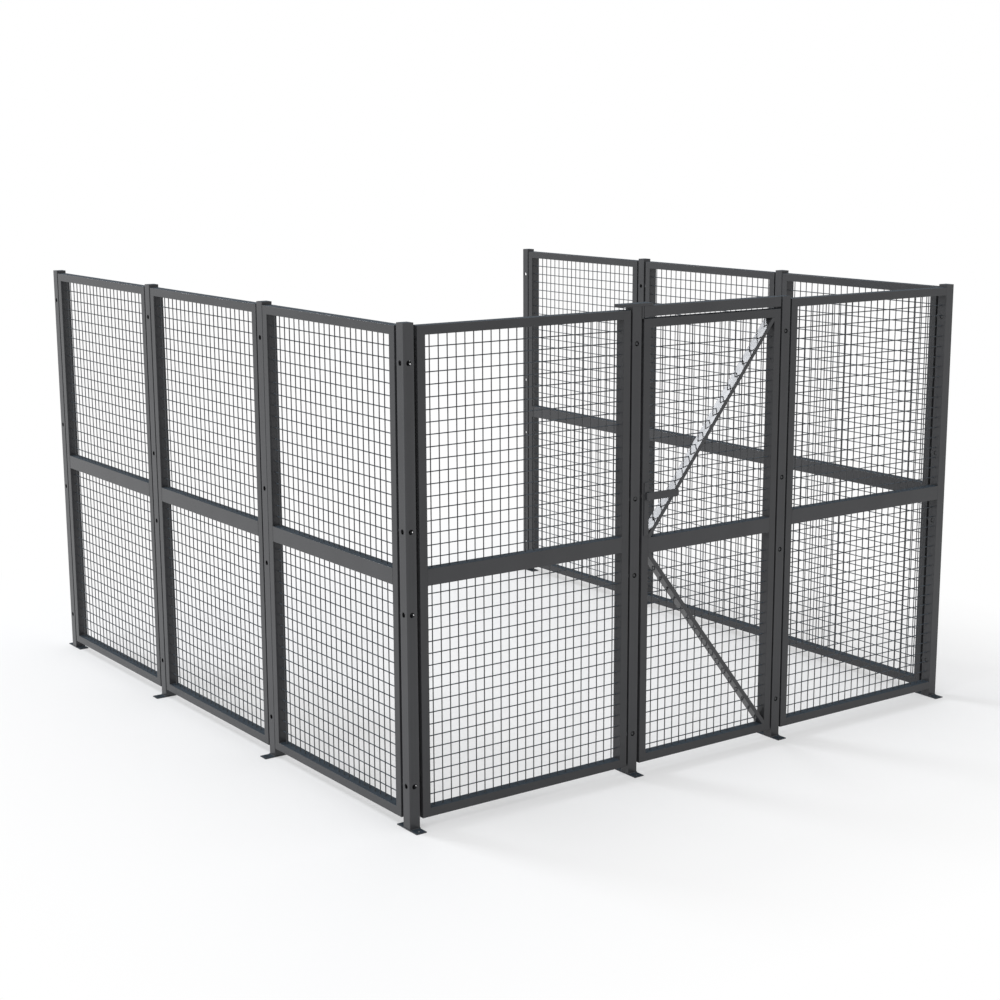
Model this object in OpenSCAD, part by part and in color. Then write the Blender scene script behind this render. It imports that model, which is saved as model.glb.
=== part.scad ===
// Wire mesh partition: three bolted walls of welded mesh panels on floor posts,
// with one inward-swinging mesh door in the middle bay of the front wall.
// The site frame used below has X along the front wall, Y to the back and Z up, from the outer
// corner of the first front post. The part frame has its origin under the middle of the plan.

/* [Posts] */
// Side of the square post
post_w = 50.8; // [40:0.1:60]
// Height of the posts above the floor
post_h = 2114.5; // [2100:0.5:2200]
// Wall of the post tube
post_wall = 3; // [2:0.5:4]
// Radius along the edges of the post tube
post_edge_r = 3.2; // [1:0.1:6]
// Diameter of the holes through the posts
post_hole_d = 22.2; // [16:0.1:24]
// Length of a foot plate
foot_l = 152.4; // [140:0.2:180]
// Thickness of a foot plate
foot_t = 4.8; // [4:0.2:8]
// Distance between the two anchor holes of a foot plate
foot_pitch = 108; // [100:1:112]
// Diameter of an anchor hole
foot_hole_d = 14.3; // [10:0.1:16]

/* [Panels] */
// Width of a whole panel
panel_w = 1092.2; // [1000:0.1:1200]
// Height of a panel
panel_h = 2057.4; // [2050:0.1:2060]
// Height of the panels above the floor
panel_z = 43.2; // [20:0.1:50]
// Width of the last front panel, whose rails run into the corner post
end_panel_w = 1051; // [1000:0.5:1200]
// Panels in each side wall
side_bays = 3; // [1:1:3]
// Gap between a post and a panel
panel_gap = 9.52; // [9:0.02:12]
// Wide gap beside the corner posts, and once more in the right wall
wide_gap = 15.88; // [12:0.02:17]
// Face width of the frame tubes of panels and door
frame_face = 38.1; // [30:0.1:42]
// Height of the middle rails
mid_rail_h = 69.85; // [60:0.05:76]
// Wall of the frame tubes
frame_wall = 2; // [1.5:0.1:2.4]
// Radius along the edges of the frame tubes
frame_edge_r = 2.4; // [1:0.1:3]

/* [Mesh] */
// Diameter of the mesh wires
wire_d = 4.76; // [4:0.02:4.9]
// Distance between upright wires
wire_pitch_x = 43.18; // [40:0.02:50]
// Distance between level wires
wire_pitch_z = 50.8; // [48:0.1:56]
// Root gap left for the welds between crossing wires and between frame tubes
weld_gap = 0.2; // [0.2:0.1:0.5]
// Least distance from the first upright wire to the frame
wire_margin = 24; // [23:0.5:25]

/* [Door] */
// Width of the door
door_w = 811.2; // [780:0.1:820]
// Height of the door
door_h = 2014.5; // [2010:0.5:2015]
// Height of the door above the floor
door_z = 44.45; // [40:0.05:45]
// Gap on the latch side
latch_gap = 14.28; // [13:0.02:16]
// First level wire above the lower edge of each door opening
door_sheet_margin = 31.3; // [30:0.1:34]
// Face width of the diagonal braces
brace_w = 19.05; // [16:0.05:22]
// Height of the header over the door
header_h = 46; // [40:0.5:48]
// Length of the plate on top of the latch post
cap_plate_l = 177.8; // [160:0.1:200]
// Thickness of the plate on top of the latch post
cap_plate_t = 12.7; // [8:0.1:16]
// Thickness of the web below that plate
web_t = 9.525; // [8:0.025:11]

/* [Latch] */
// Length of the lever bar
lever_l = 184; // [150:1:200]
// Height of the lever bar
lever_h = 34.5; // [28:0.5:38]
// Thickness of the lever bar
lever_t = 7.9; // [6:0.1:8.4]
// Height of the lever bar above the floor
lever_z = 1276; // [1274:0.5:1280]
// Diameter of the sliding bolt
bolt_d = 12.7; // [10:0.1:13]
// Travel of the sliding bolt
bolt_throw = 22; // [20:0.5:24]
// Height of the plate behind the lever
case_h = 240; // [200:1:260]
// Width of the plate behind the lever
case_w = 25.4; // [25:0.1:26]

/* [Hinges] */
// Radius of a hinge knuckle
knuckle_r = 8; // [7.5:0.1:8]
// Diameter of the hinge pins
pin_d = 8; // [6:0.1:8]
// Height of a hinge
hinge_h = 75; // [60:1:90]
// Length of a hinge leaf
leaf_l = 30; // [24:1:36]
// Thickness of a hinge leaf
leaf_t = 4; // [3:0.1:4]

/* [Hidden] */
$fn = 48;
eps = 1;                    // overshoot of a cutter past the face it cuts
run_fit = 0.05;             // radial clearance of a turning or sliding pin
loose_fit = 0.3;            // clearance of parts that pass without guiding
cap_t = 3;                  // thickness of the caps in tube ends
least_r = 0.2;              // least radius inside the edge of a tube

post_hole_z = [191.3, 925.3, 1270.9, 1954.8];
latch_z = post_hole_z[2];

// Plan of the front wall
panel_1_x = post_w + wide_gap;
post_2_x = panel_1_x + panel_w + panel_gap;
door_x = post_2_x + post_w + latch_gap;
post_3_x = door_x + door_w + panel_gap;
panel_2_x = post_3_x + post_w + panel_gap;
post_4_x = panel_2_x + end_panel_w;
front_post_x = [0, post_2_x, post_3_x, post_4_x];
total_w = post_4_x + post_w;

// Plan of the side walls: the gaps before and after each panel, from the front, then where a
// bay and its panel begin
narrow_gap = 2 * panel_gap - wide_gap;
middle_gap = (panel_gap + wide_gap) / 2;
left_gaps = [[wide_gap, narrow_gap], [panel_gap, panel_gap], [panel_gap, panel_gap]];
right_gaps = [[wide_gap, narrow_gap], [panel_gap, wide_gap], [middle_gap, panel_gap]];
function gaps(side, i) = (side == "left" ? left_gaps : right_gaps)[i - 1];
function bay_y(side, i) = i == 1 ? 0
    : bay_y(side, i - 1) + post_w + gaps(side, i - 1)[0] + panel_w + gaps(side, i - 1)[1];
function panel_y(side, i) = bay_y(side, i) + post_w + gaps(side, i)[0];
total_d = bay_y("right", side_bays + 1) + post_w;
mid_y = post_w / 2;

// Depth of the wires in a frame, upright ones in front
upright_y = mid_y - (wire_d + weld_gap) / 2;
level_y = mid_y + (wire_d + weld_gap) / 2;

// Inner size of panel and door frames, and their middle rails
open_w = panel_w - 2 * frame_face;
end_open_w = end_panel_w - frame_face;
panel_open_h = panel_h - 2 * frame_face;
panel_rail_z = (panel_h - mid_rail_h) / 2;
door_open_w = door_w - 2 * frame_face;
door_rail_z = (door_h - mid_rail_h) / 2;
door_sheet_h = door_rail_z - frame_face;
upper_sheet_z = door_rail_z + mid_rail_h;

// Header, and the plates that hold it
header_z = post_h - header_h;
tab_l = 25.4;
tab_w = 15.9;
tab_t = 6.35;
web_h = header_h + 8;

// Latch
spindle_x = 28;             // from the latch edge of the door
spindle_d = 8;
spindle_depth = 15;         // behind the front of the stile
hub_d = 20;
lever_back = 11;            // from the spindle to the short end of the lever
lever_corner_r = 10;
lever_stand = 5.6;          // gap between the stile and the lever
case_t = 4;
case_x = 9.5;               // from the latch edge of the door
case_z = 1099;
lock_h = 120;
lock_inset = 3;             // from the sides of the stile to the lock body
bolt_guide = 12;            // length of the bolt that stays in its bore
bolt_l = bolt_throw + bolt_guide;
bolt_y = mid_y;
bolt_chamfer = 1.5;

// Hinges
hinge_x = post_3_x - panel_gap / 2;
hinge_y = post_w + knuckle_r + 0.5;
hinge_end_z = 200;          // from a door end to the middle of a hinge
hinge_z = [door_z + hinge_end_z, door_z + door_h / 2, door_z + door_h - hinge_end_z];
knuckle_gap = 0.3;
door_knuckle_h = hinge_h / 3;
leaf_x = knuckle_r + 0.5;
pin_head_d = 12;
pin_head_t = 2.5;

// Fasteners between posts and panels
ring_d = 31.75;
ring_bore_d = 10;
stud_d = 9.5;
stud_end = 8;               // past the inside of the post wall
washer_t = 2;
head_d = 16.5;              // across the corners
head_t = 6.4;

STEEL = [0.27, 0.28, 0.30];
DARK_STEEL = [0.22, 0.23, 0.25];
ZINC = [0.60, 0.61, 0.63];

SIDES = ["left", "right"];

// Moves the site frame's shapes into the part frame
module site() {
    translate([-total_w / 2, -total_d / 2, 0]) children();
}

// Position and turn of a panel in a side wall, its outer face outwards
module on_side(side, i) {
    if (side == "left")
        translate([0, panel_y(side, i) + panel_w, 0]) rotate([0, 0, -90]) children();
    else
        translate([total_w, panel_y(side, i), 0]) rotate([0, 0, 90]) children();
}

// Rectangle with round corners
module rounded(width, height, r) {
    translate([0, r]) square([width, height - 2 * r]);
    translate([r, 0]) square([width - 2 * r, height]);
    for (x = [r, width - r], y = [r, height - r]) translate([x, y]) circle(r);
}

// Hollow of a tube whose edges have the radius r
module bore_section(width, height, wall, r) {
    translate([wall, wall])
        rounded(width - 2 * wall, height - 2 * wall, max(r - wall, least_r));
}

// Cross-section of a tube with round edges
module tube_section(width, height, wall, r) {
    difference() {
        rounded(width, height, r);
        bore_section(width, height, wall, r);
    }
}

// ---- Posts ----

// Cylinder along X from the depth given through the rest of a post, its centre on the post's axis
module cross_hole(z, from = -eps) {
    translate([from, post_w / 2, z]) rotate([0, 90, 0])
        cylinder(d = post_hole_d, h = post_w + eps - from);
}

// Square tube standing on its foot plate, with cross holes both ways, or none in a plain front
module post(plain_front = false) {
    color(STEEL) difference() {
        translate([0, 0, foot_t])
            linear_extrude(post_h - foot_t) tube_section(post_w, post_w, post_wall, post_edge_r);
        for (z = post_hole_z) {
            cross_hole(z);
            translate([post_w, 0, 0]) rotate([0, 0, 90]) cross_hole(z, plain_front ? mid_y : -eps);
        }
    }
}

// Plate under a post, long along Y unless it is turned, with an anchor hole at each end
module foot_plate(along_x = false) {
    color(STEEL) translate([post_w / 2, post_w / 2, 0]) rotate([0, 0, along_x ? 90 : 0])
        difference() {
            translate([-post_w / 2, -foot_l / 2, 0]) cube([post_w, foot_l, foot_t]);
            for (s = [-1, 1])
                translate([0, s * foot_pitch / 2, -eps]) cylinder(d = foot_hole_d, h = foot_t + 2 * eps);
        }
}

// Cap let into the top of a post
module post_cap() {
    translate([0, 0, post_h - cap_t])
        linear_extrude(cap_t) bore_section(post_w, post_w, post_wall, post_edge_r);
}

// Place of the post at the back end of a bay in a side wall
module at_side_post(side, i) {
    translate([side == "left" ? 0 : post_4_x, bay_y(side, i + 1), 0]) children();
}

module post_caps() {
    color(DARK_STEEL) {
        for (x = front_post_x) translate([x, 0, 0]) post_cap();
        for (side = SIDES, i = [1 : side_bays]) at_side_post(side, i) post_cap();
    }
}

// ---- Frames of tube ----

// Tube along X with its outer edge on z = 0, mitred at x = 0 and, unless it butts a post, at the far end.
// Each mitre keeps back by half the root gap of its weld.
module mitred_tube(length, butts = false) {
    back = weld_gap / sqrt(2);
    low = -eps;
    high = frame_face + eps;
    far = butts ? [[length, low], [length, high]]
        : [[length - back - low, low], [length - back - high, high]];
    intersection() {
        translate([0, post_w + eps, 0]) rotate([90, 0, 0]) linear_extrude(post_w + 2 * eps)
            polygon(concat([[back + low, low]], far, [[back + high, high]]));
        rail(length, frame_face);
    }
}

// Upright tube, its outer edge on x = 0
module stile(height) {
    mirror([1, 0, -1]) mitred_tube(height);
}

// Tube along X with square ends and round edges
module rail(length, height) {
    translate([length, 0, 0]) rotate([0, -90, 0])
        linear_extrude(length) tube_section(height, post_w, frame_wall, frame_edge_r);
}

// Whole tube frame, or one whose rails run into a post on the right
module tube_frame(width, height, rail_z, open_end = false) {
    mitred_tube(width, open_end);
    translate([0, 0, height]) mirror([0, 0, 1]) mitred_tube(width, open_end);
    stile(height);
    if (!open_end) translate([width, 0, 0]) mirror([1, 0, 0]) stile(height);
    translate([frame_face + weld_gap, 0, rail_z])
        rail(width - (open_end ? 1 : 2) * (frame_face + weld_gap), mid_rail_h);
}

// ---- Welded mesh ----

function wires_across(width) = floor((width - 2 * wire_margin) / wire_pitch_x) + 1;
function first_wire(width) = (width - (wires_across(width) - 1) * wire_pitch_x) / 2;

// Upright wires from z = 0 to the height given
module upright_wires(height, count, first) {
    for (i = [0 : count - 1])
        translate([first + i * wire_pitch_x, upright_y, 0]) cylinder(d = wire_d, h = height);
}

// Level wire across an opening
module level_wire(width) {
    translate([0, level_y, 0]) rotate([0, 90, 0]) cylinder(d = wire_d, h = width);
}

// Sheets of a panel above and below its middle rail, on one lattice of level wires
module panel_mesh(width) {
    count = wires_across(open_w);
    first = first_wire(open_w);
    rail_low = panel_rail_z - frame_face;
    rail_high = rail_low + mid_rail_h;
    rows = floor(panel_open_h / wire_pitch_z + 0.01) - 1;
    color(STEEL) translate([frame_face, 0, frame_face]) {
        upright_wires(rail_low, count, first);
        translate([0, 0, rail_high]) upright_wires(panel_open_h - rail_high, count, first);
        for (k = [1 : rows])
            if (k * wire_pitch_z < rail_low || k * wire_pitch_z > rail_high)
                translate([0, 0, k * wire_pitch_z]) level_wire(width);
    }
}

// Frame of a panel, at its height above the floor
module panel_frame(width, open_end = false) {
    color(STEEL) translate([0, 0, panel_z]) tube_frame(width, panel_h, panel_rail_z, open_end);
}

// ---- Door ----

// Outline of a diagonal strip of the width given, from corner to corner of a door opening
module diagonal(width) {
    angle = atan2(door_sheet_h, door_open_w);
    reach = norm([door_open_w, door_sheet_h]);
    intersection() {
        square([door_open_w, door_sheet_h]);
        rotate(angle) translate([-width, -width / 2]) square([reach + 2 * width, width]);
    }
}

// Strip as a solid from the depth given to the same depth at the back
module diagonal_bar(width, inset = 0) {
    translate([0, post_w - inset, 0]) rotate([90, 0, 0])
        linear_extrude(post_w - 2 * inset) diagonal(width);
}

// Brace rising from the latch side; its mirror image falls to the hinge side
module brace() {
    difference() {
        diagonal_bar(brace_w);
        diagonal_bar(brace_w - 2 * frame_wall, frame_wall);
    }
}

module rising() {
    children();
}

module falling() {
    translate([0, 0, door_sheet_h]) mirror([0, 0, 1]) children();
}

module at_lower_opening() {
    translate([door_x + frame_face, 0, door_z + frame_face]) children();
}

module at_upper_opening() {
    translate([door_x + frame_face, 0, door_z + upper_sheet_z]) children();
}

module door_brace_lower() {
    color(STEEL) at_lower_opening() falling() brace();
}

module door_brace_upper() {
    color(STEEL) at_upper_opening() rising() brace();
}

// Wires of one opening, cut where the brace given as child crosses them
module door_sheet() {
    rows = floor((door_sheet_h - door_sheet_margin) / wire_pitch_z);
    color(STEEL) difference() {
        union() {
            upright_wires(door_sheet_h, wires_across(door_open_w), first_wire(door_open_w));
            for (k = [0 : rows - 1])
                translate([0, 0, door_sheet_margin + k * wire_pitch_z]) level_wire(door_open_w);
        }
        children();
    }
}

module door_mesh_lower() {
    at_lower_opening() door_sheet() falling() diagonal_bar(brace_w);
}

module door_mesh_upper() {
    at_upper_opening() door_sheet() rising() diagonal_bar(brace_w);
}

// Tube frame of the door, with holes for the sliding bolt and the lever's spindle
module door_frame() {
    color(STEEL) difference() {
        translate([door_x, 0, door_z]) tube_frame(door_w, door_h, door_rail_z);
        translate([door_x - eps, bolt_y, latch_z]) rotate([0, 90, 0])
            cylinder(d = bolt_d + 2 * loose_fit, h = frame_wall + 2 * eps);
        translate([door_x + spindle_x, -eps, lever_z]) rotate([-90, 0, 0])
            cylinder(d = spindle_d + 2 * eps, h = frame_wall + 2 * eps);
    }
}

// ---- Header ----

// Closed tube over the door, level with the post tops
module header() {
    color(STEEL) translate([door_x + door_w, 0, header_z]) rotate([0, -90, 0]) {
        linear_extrude(door_w) tube_section(header_h, post_w, post_wall, post_edge_r);
        for (x = [0, door_w - cap_t])
            translate([0, 0, x]) linear_extrude(cap_t) rounded(header_h, post_w, post_edge_r);
    }
}

// Plate on top of the latch post, with a web that hangs between the post and the header
module header_bracket() {
    post_mid = post_2_x + post_w / 2;
    web_x = post_2_x + post_w + (latch_gap - web_t) / 2;
    color(STEEL) {
        translate([post_mid - cap_plate_l / 2, 0, post_h]) cube([cap_plate_l, post_w, cap_plate_t]);
        translate([web_x, 0, post_h - web_h]) cube([web_t, post_w, web_h + cap_plate_t / 2]);
    }
}

// Small shelf on the hinge post under the other end of the header
module header_tab() {
    color(STEEL) translate([post_3_x - tab_l, (post_w - tab_w) / 2, header_z - tab_t])
        cube([tab_l, tab_w, tab_t]);
}

// ---- Latch ----

// Plate on the front of the stile and the lock body inside the tube, with both bores
module latch_case() {
    lock_w = frame_face - 2 * lock_inset;
    lock_d = post_w - 2 * frame_wall;
    color(DARK_STEEL) difference() {
        union() {
            translate([door_x + case_x, -case_t, case_z]) cube([case_w, case_t, case_h]);
            translate([door_x + lock_inset, frame_wall, latch_z - lock_h / 2])
                cube([lock_w, lock_d, lock_h]);
        }
        translate([door_x + spindle_x, -case_t - eps, lever_z]) rotate([-90, 0, 0])
            cylinder(d = spindle_d + 2 * run_fit, h = case_t + spindle_depth + 2 * eps);
        translate([door_x, bolt_y, latch_z]) rotate([0, 90, 0])
            cylinder(d = bolt_d + 2 * run_fit, h = frame_face);
    }
}

// Outline of the lever, square at the short end and round-cornered at the long one
module lever_outline() {
    r = lever_corner_r;
    translate([-lever_back, -lever_h / 2]) square([lever_l - r, lever_h]);
    translate([-lever_back, -lever_h / 2 + r]) square([lever_l, lever_h - 2 * r]);
    for (s = [-1, 1])
        translate([lever_l - lever_back - r, s * (lever_h / 2 - r)]) circle(r);
}

// Lever bar with its hub and spindle
module latch_lever() {
    hub_t = lever_stand - case_t - loose_fit;
    color(STEEL) translate([door_x + spindle_x, 0, lever_z]) {
        translate([0, -lever_stand, 0]) rotate([90, 0, 0]) linear_extrude(lever_t) lever_outline();
        translate([0, -lever_stand - eps, 0]) rotate([-90, 0, 0]) cylinder(d = hub_d, h = hub_t + eps);
        translate([0, -lever_stand - eps, 0]) rotate([-90, 0, 0])
            cylinder(d = spindle_d, h = lever_stand + spindle_depth + eps);
    }
}

// Sliding bolt, drawn back into the stile
module latch_bolt() {
    color(ZINC) translate([door_x, bolt_y, latch_z]) rotate([0, 90, 0]) {
        translate([0, 0, bolt_chamfer]) cylinder(d = bolt_d, h = bolt_l - bolt_chamfer);
        cylinder(d1 = bolt_d - 2 * bolt_chamfer, d2 = bolt_d, h = bolt_chamfer);
    }
}

// ---- Hinges ----

module at_hinges() {
    for (z = hinge_z) translate([hinge_x, hinge_y, z]) children();
}

// Leaf on the back of a tube, reaching to the knuckle from low to high; side is the leaf's direction
module leaf(side, knuckles) {
    back = post_w - hinge_y;
    difference() {
        union() {
            translate([side > 0 ? leaf_x : -leaf_x - leaf_l, back, -hinge_h / 2])
                cube([leaf_l, leaf_t, hinge_h]);
            for (k = knuckles) {
                translate([side > 0 ? 0 : -leaf_x - eps, back, k[0]])
                    cube([leaf_x + eps, leaf_t, k[1] - k[0]]);
                translate([0, 0, k[0]]) cylinder(r = knuckle_r, h = k[1] - k[0]);
            }
        }
        translate([0, 0, -hinge_h]) cylinder(d = pin_d + 2 * run_fit, h = 2 * hinge_h);
    }
}

module hinge_post_leaves() {
    low = door_knuckle_h / 2 + knuckle_gap;
    color(STEEL) at_hinges() leaf(1, [[-hinge_h / 2, -low], [low, hinge_h / 2]]);
}

module hinge_door_leaves() {
    color(STEEL) at_hinges() leaf(-1, [[-door_knuckle_h / 2, door_knuckle_h / 2]]);
}

// Headed pins through the knuckles
module hinge_pins() {
    color(ZINC) at_hinges() {
        translate([0, 0, -hinge_h / 2 - eps]) cylinder(d = pin_d, h = hinge_h + 2 * eps);
        translate([0, 0, hinge_h / 2]) cylinder(d = pin_head_d, h = pin_head_t);
        translate([0, 0, -hinge_h / 2 - pin_head_t]) cylinder(d = pin_head_d, h = pin_head_t);
    }
}

// ---- Fasteners ----

// Joints between panels and posts: [x and y of the stile's face, turn towards the post, gap]
panel_1_left = [panel_1_x, mid_y, 180, wide_gap];
panel_1_right = [panel_1_x + panel_w, mid_y, 0, panel_gap];
panel_2_left = [panel_2_x, mid_y, 180, panel_gap];
side_joints = [for (side = SIDES, i = [1 : side_bays], end = [0, 1])
    [side == "left" ? mid_y : total_w - mid_y, panel_y(side, i) + end * panel_w,
        end == 0 ? -90 : 90, gaps(side, i)[end]]];
bolted_z = [for (z = post_hole_z) if (z != latch_z) z];

// Children at each of the heights given, turned so that +Z runs from the stile to the post
module at_joint(joint, heights) {
    for (z = heights)
        translate([joint[0], joint[1], z]) rotate([0, 0, joint[2]]) rotate([0, 90, 0]) children();
}

module stud(gap) {
    cylinder(d = stud_d, h = gap + post_wall + stud_end);
}

// Studs on the panels that reach through the holes into the posts
module panel_studs() {
    color(DARK_STEEL) {
        for (joint = concat([panel_1_left, panel_2_left], side_joints))
            at_joint(joint, post_hole_z) stud(joint[3]);
        at_joint(panel_1_right, [latch_z]) stud(panel_gap);
    }
}

// Rings that keep the panels off the posts
module panel_spacers() {
    color(DARK_STEEL)
        for (joint = concat([panel_1_right, panel_2_left], side_joints))
            at_joint(joint, post_hole_z) difference() {
                cylinder(d = ring_d, h = joint[3]);
                translate([0, 0, -eps]) cylinder(d = ring_bore_d, h = joint[3] + 2 * eps);
            }
}

// Bolts through the latch post into the first panel, with washers and six-sided heads
module through_bolts() {
    shank = panel_gap + post_w;
    color(ZINC) at_joint(panel_1_right, bolted_z) {
        cylinder(d = stud_d, h = shank + washer_t);
        translate([0, 0, shank]) cylinder(d = ring_d, h = washer_t);
        translate([0, 0, shank + washer_t]) cylinder(d = head_d, h = head_t, $fn = 6);
    }
}

// ---- Nodes ----

for (i = [1 : 4]) {
    site() translate([front_post_x[i - 1], 0, 0]) post(plain_front = i == 4);
    site() translate([front_post_x[i - 1], 0, 0]) foot_plate();
}

for (side = SIDES, i = [1 : side_bays]) {
    site() at_side_post(side, i) post();
    site() at_side_post(side, i) foot_plate(along_x = i < side_bays);
    site() on_side(side, i) panel_frame(panel_w);
    site() on_side(side, i) translate([0, 0, panel_z]) panel_mesh(open_w);
}

site() post_caps();
site() translate([panel_1_x, 0, 0]) panel_frame(panel_w);  // panel_frame_front_1
site() translate([panel_1_x, 0, panel_z]) panel_mesh(open_w);  // panel_mesh_front_1
site() translate([panel_2_x, 0, 0]) panel_frame(end_panel_w, open_end = true);  // panel_frame_front_2
site() translate([panel_2_x, 0, panel_z]) panel_mesh(end_open_w);  // panel_mesh_front_2
site() door_frame();
site() door_mesh_lower();
site() door_mesh_upper();
site() door_brace_lower();
site() door_brace_upper();
site() latch_case();
site() latch_lever();
site() latch_bolt();
site() header();
site() header_bracket();
site() header_tab();
site() hinge_post_leaves();
site() hinge_door_leaves();
site() hinge_pins();
site() panel_studs();
site() panel_spacers();
site() through_bolts();
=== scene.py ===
"""Wire mesh partition with door: coated tube frames, welded wire, posts, latch and hinges."""
import math

import bmesh
import bpy
from mathutils import Matrix, Vector


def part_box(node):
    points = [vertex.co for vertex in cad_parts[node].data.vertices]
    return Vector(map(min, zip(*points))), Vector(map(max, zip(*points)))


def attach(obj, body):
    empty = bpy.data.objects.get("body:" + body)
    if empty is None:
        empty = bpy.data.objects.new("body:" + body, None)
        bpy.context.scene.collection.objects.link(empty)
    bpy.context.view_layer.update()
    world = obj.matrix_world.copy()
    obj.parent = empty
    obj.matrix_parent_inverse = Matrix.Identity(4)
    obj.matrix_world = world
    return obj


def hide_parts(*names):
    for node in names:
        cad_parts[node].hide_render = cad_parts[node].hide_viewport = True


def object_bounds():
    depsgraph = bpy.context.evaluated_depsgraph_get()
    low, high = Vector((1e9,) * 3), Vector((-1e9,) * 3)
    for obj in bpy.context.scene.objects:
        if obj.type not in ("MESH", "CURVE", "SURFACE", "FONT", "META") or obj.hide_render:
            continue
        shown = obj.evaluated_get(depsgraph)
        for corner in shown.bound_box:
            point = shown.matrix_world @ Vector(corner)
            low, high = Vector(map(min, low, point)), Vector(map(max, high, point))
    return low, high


bl_info = {
    "name": "Wire mesh partition with door",
    "version": (1, 0, 0),
    "blender": (4, 5, 0),
    "location": "View3D > Sidebar > Partition",
    "description": "Builds the visible pieces of a coated wire mesh partition on its CAD frame",
    "category": "Object",
}

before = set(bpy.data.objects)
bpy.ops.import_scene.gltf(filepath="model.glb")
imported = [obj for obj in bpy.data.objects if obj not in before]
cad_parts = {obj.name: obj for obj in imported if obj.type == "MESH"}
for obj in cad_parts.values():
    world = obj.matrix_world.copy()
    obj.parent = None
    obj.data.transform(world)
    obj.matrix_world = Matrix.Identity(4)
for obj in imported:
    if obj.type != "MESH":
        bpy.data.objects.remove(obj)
CAD_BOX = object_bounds()
MM = 0.001

# The shape of the walls, as the frame's nodes give it
SIDES = ("left", "right")
FRONT_POSTS = [f"post_front_{i}" for i in range(1, 5)]
SIDE_POSTS = [f"post_{side}_{i}" for side in SIDES for i in range(1, 4)]
WHOLE_PANELS = ["front_1"] + [f"{side}_{i}" for side in SIDES for i in range(1, 4)]
END_PANEL = "front_2"
PANEL_TURN = {"front": 0.0, "left": -90.0, "right": 90.0}


# ---- Sizes and finishes that a user would change ----

def length(name, description, millimetres):
    """Setting of a length, its default given in millimetres."""
    return bpy.props.FloatProperty(
        name=name, description=description, default=millimetres * MM, unit="LENGTH")


class PartitionTubes(bpy.types.PropertyGroup):
    """Sizes of tubes, posts and plates that the frame leaves open."""

    edge_radius: length(
        "Tube edge radius", "Outer radius along the edges of the frame tubes", 1.5)
    post_edge_radius: length("Post edge radius", "Outer radius along the edges of the posts", 2.0)
    face: length("Frame face", "Face width of the panel and door frame tubes", 38.1)
    rail: length("Middle rail", "Height of the middle rails", 69.85)
    post_wall: length("Post wall", "Wall of the post tubes", 3.0)
    hole: length("Post hole", "Diameter of the holes through the posts", 22.2)
    anchor_hole: length("Anchor hole", "Diameter of the holes in the foot plates", 14.3)
    anchor_pitch: length(
        "Anchor spacing", "Distance between the two holes of a foot plate", 108.0)
    brace: length("Brace", "Face width of the door's diagonal braces", 19.05)
    bead: length("Weld bead", "Radius of the weld beads on the frames", 1.3)


class PartitionMesh(bpy.types.PropertyGroup):
    """Sizes of the welded wire mesh."""

    wire: length("Wire", "Diameter of the mesh wires", 4.76)
    pitch_x: length("Upright pitch", "Distance between upright wires", 43.18)
    pitch_z: length("Level pitch", "Distance between level wires", 50.8)
    margin: length(
        "Least margin", "Least distance from the frame to the first upright wire", 24.0)
    door_margin: length(
        "Door margin", "Height of the first level wire in each door opening", 31.3)
    bite: length("Weld bite", "How far the level wires sink into the upright ones", 0.5)
    sides: bpy.props.IntProperty(
        name="Wire sides", description="Flat strips round a wire", default=12, min=6, max=24)


class PartitionHardware(bpy.types.PropertyGroup):
    """Sizes of the latch, the hinges, the header's web and the bolt heads."""

    lever: length("Lever", "Thickness of the latch lever", 7.9)
    lever_corner: length("Lever corner", "Radius of the lever's long end", 10.0)
    spindle: length("Spindle", "Distance of the spindle from the door's latch side", 28.0)
    latch_plate: length("Latch plate", "Width of the plate behind the lever", 25.4)
    latch_inset: length("Latch inset", "Distance of that plate from the door's latch side", 9.5)
    hinge: length("Hinge", "Height of a hinge", 75.0)
    hinge_leaf: length("Hinge leaf", "Thickness of the hinge leaves", 4.0)
    pin: length("Hinge pin", "Diameter of the hinge pins", 8.0)
    web: length("Header web", "Thickness of the web between latch post and header", 9.525)
    bolt_head: length("Bolt head", "Diameter of the bolt heads in the front holes", 13.0)
    side_bolt_head: length(
        "Side bolt head", "Diameter of the bolt heads in the last post's side", 19.0)


class PartitionFinish(bpy.types.PropertyGroup):
    """Colours and gloss of the coated steel and the fasteners."""

    coat: bpy.props.FloatVectorProperty(
        name="Powder coat", description="Colour of the coated tubes and plates",
        subtype="COLOR", default=(0.0405, 0.0410, 0.0432), min=0.0, max=1.0)
    coat_rough: bpy.props.FloatProperty(
        name="Coat roughness", description="Mean roughness of the powder coat",
        default=0.21, min=0.0, max=1.0)
    coat_shine: bpy.props.FloatProperty(
        name="Coat shine", description="Strength of the powder coat's reflection",
        default=0.32, min=0.0, max=1.0)
    wire_coat: bpy.props.FloatVectorProperty(
        name="Wire coat", description="Colour of the coated wires",
        subtype="COLOR", default=(0.0425, 0.0437, 0.0465), min=0.0, max=1.0)
    # Laid on faces that look up: fine dust, whose bluish tone is also a painted top light from
    # above
    dust_and_top_light: bpy.props.FloatVectorProperty(
        name="Dust", description="Colour of the fine dust on faces that look up",
        subtype="COLOR", default=(0.024, 0.036, 0.049), min=0.0, max=1.0)
    zinc: bpy.props.FloatVectorProperty(
        name="Zinc", description="Colour of the plated fasteners",
        subtype="COLOR", default=(0.36, 0.37, 0.38), min=0.0, max=1.0)


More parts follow.
